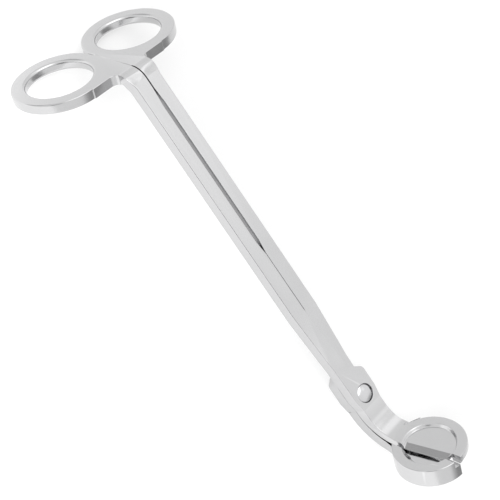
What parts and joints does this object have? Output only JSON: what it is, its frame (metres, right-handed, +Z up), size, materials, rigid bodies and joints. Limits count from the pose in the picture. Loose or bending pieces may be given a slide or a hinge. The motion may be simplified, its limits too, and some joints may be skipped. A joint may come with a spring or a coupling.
{
  "type": "candle wick trimmer",
  "caption": "Long cranked scissors in polished steel for trimming candle wicks, with finger rings at one end and a round head with a cutting plate over a catch cup at the other.",
  "frame": {"origin": "middle of the tool's bounding box, on the table that the tool lies on", "axes": "+X along the tool from the finger rings to the round head, +Y to the left ring, +Z up, away from the table"},
  "size_m": [0.1804, 0.0598, 0.0288],
  "materials": {
    "handle_steel": "satin polished stainless steel, bright inside the holes",
    "shank_steel": "satin polished stainless steel, grain along the bar",
    "head_steel": "satin polished stainless steel, ground along the cutting edge",
    "rivet_steel": "bright polished steel"
  },
  "bodies": {
    "lower_lever": {"lower_finger_ring": "handle_steel", "lower_shank": "shank_steel", "catch_cup": "head_steel", "pivot_rivet": "rivet_steel"},
    "upper_lever": {"upper_finger_ring": "handle_steel", "upper_shank": "shank_steel", "cutting_plate": "head_steel"}
  },
  "joints": [
    {"name": "pivot", "type": "hinge", "parent": "lower_lever", "child": "upper_lever", "pos_m": [0.05381, 0, 0.00523], "axis": [0.1746, 0, 0.9846], "range_deg": [0, 24]}
  ]
}
